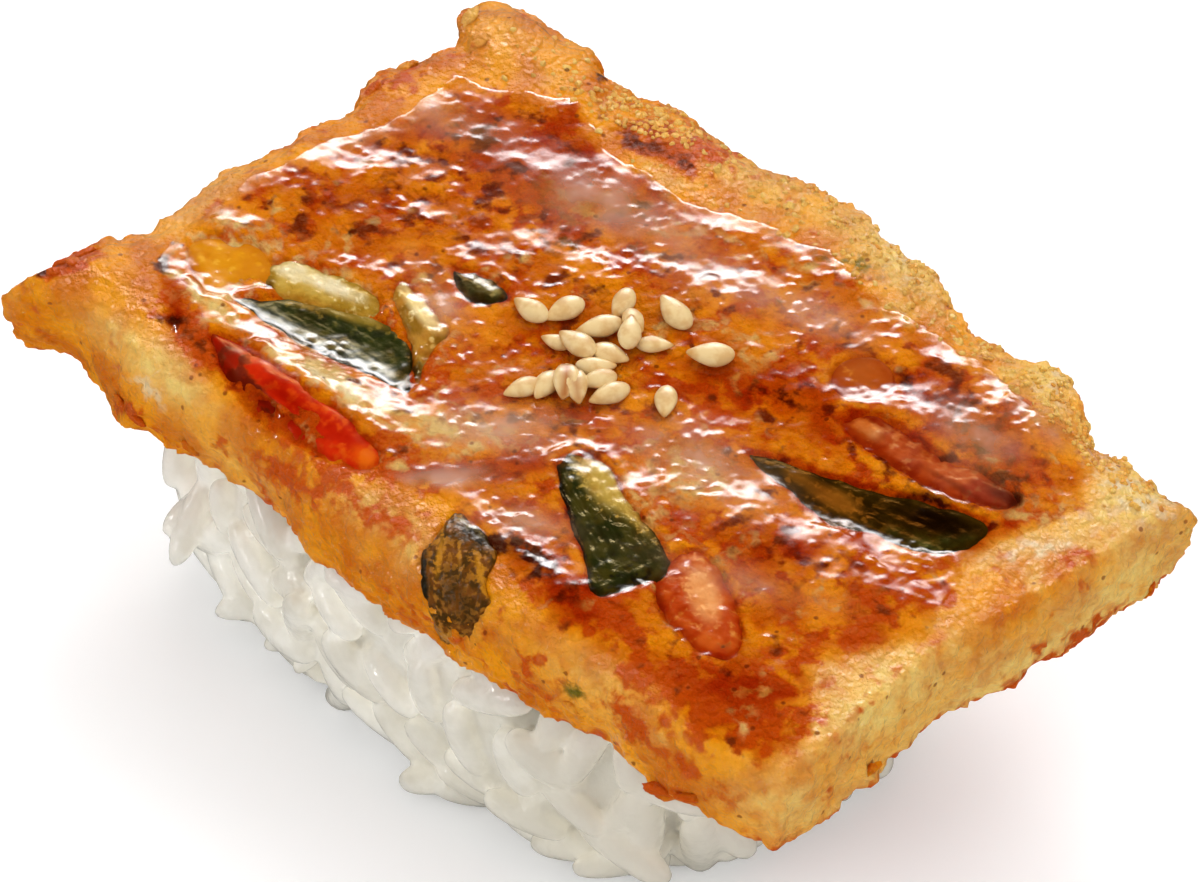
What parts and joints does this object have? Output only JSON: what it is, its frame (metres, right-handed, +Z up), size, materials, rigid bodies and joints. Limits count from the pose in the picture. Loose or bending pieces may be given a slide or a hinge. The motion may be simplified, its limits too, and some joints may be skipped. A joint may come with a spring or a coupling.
{
  "type": "vegetable pancake nigiri sushi",
  "caption": "Nigiri sushi: a pressed block of white rice under a thick glazed slab of fried vegetable pancake with leek, pepper and carrot pieces set in its top.",
  "frame": {"origin": "on the surface it rests on, under the middle of the bounding box", "axes": "+Z up, +X along the length of the sushi, +Y towards its far long side"},
  "size_m": [0.0706, 0.0472, 0.0266],
  "materials": {
    "rice": "moist sticky cooked rice, bright white",
    "pancake": "fried golden batter with browned ridges under a glossy soy glaze",
    "leaf_large": "soft cooked vegetable, moist and glossy",
    "leek_stem": "soft cooked vegetable, moist and glossy",
    "leek_white": "soft cooked vegetable, moist and glossy",
    "leek_fold": "soft cooked vegetable, moist and glossy",
    "leaf_edge": "soft cooked vegetable, moist and glossy",
    "leaf_sunk": "soft cooked vegetable, moist and glossy",
    "leaf_far": "soft cooked vegetable, moist and glossy",
    "carrot_disc": "soft cooked vegetable, moist and glossy",
    "squash_cube": "soft cooked vegetable, moist and glossy",
    "pepper_front": "soft cooked vegetable, moist and glossy",
    "pepper_right": "soft cooked vegetable, moist and glossy",
    "pepper_near": "soft cooked vegetable, moist and glossy"
  },
  "bodies": {
    "root": {"rice": "rice", "pancake": "pancake", "leaf_large": "leaf_large", "leek_stem": "leek_stem", "leek_white": "leek_white", "leek_fold": "leek_fold", "leaf_edge": "leaf_edge", "leaf_sunk": "leaf_sunk", "leaf_far": "leaf_far", "carrot_disc": "carrot_disc", "squash_cube": "squash_cube", "pepper_front": "pepper_front", "pepper_right": "pepper_right", "pepper_near": "pepper_near"}
  },
  "joints": []
}
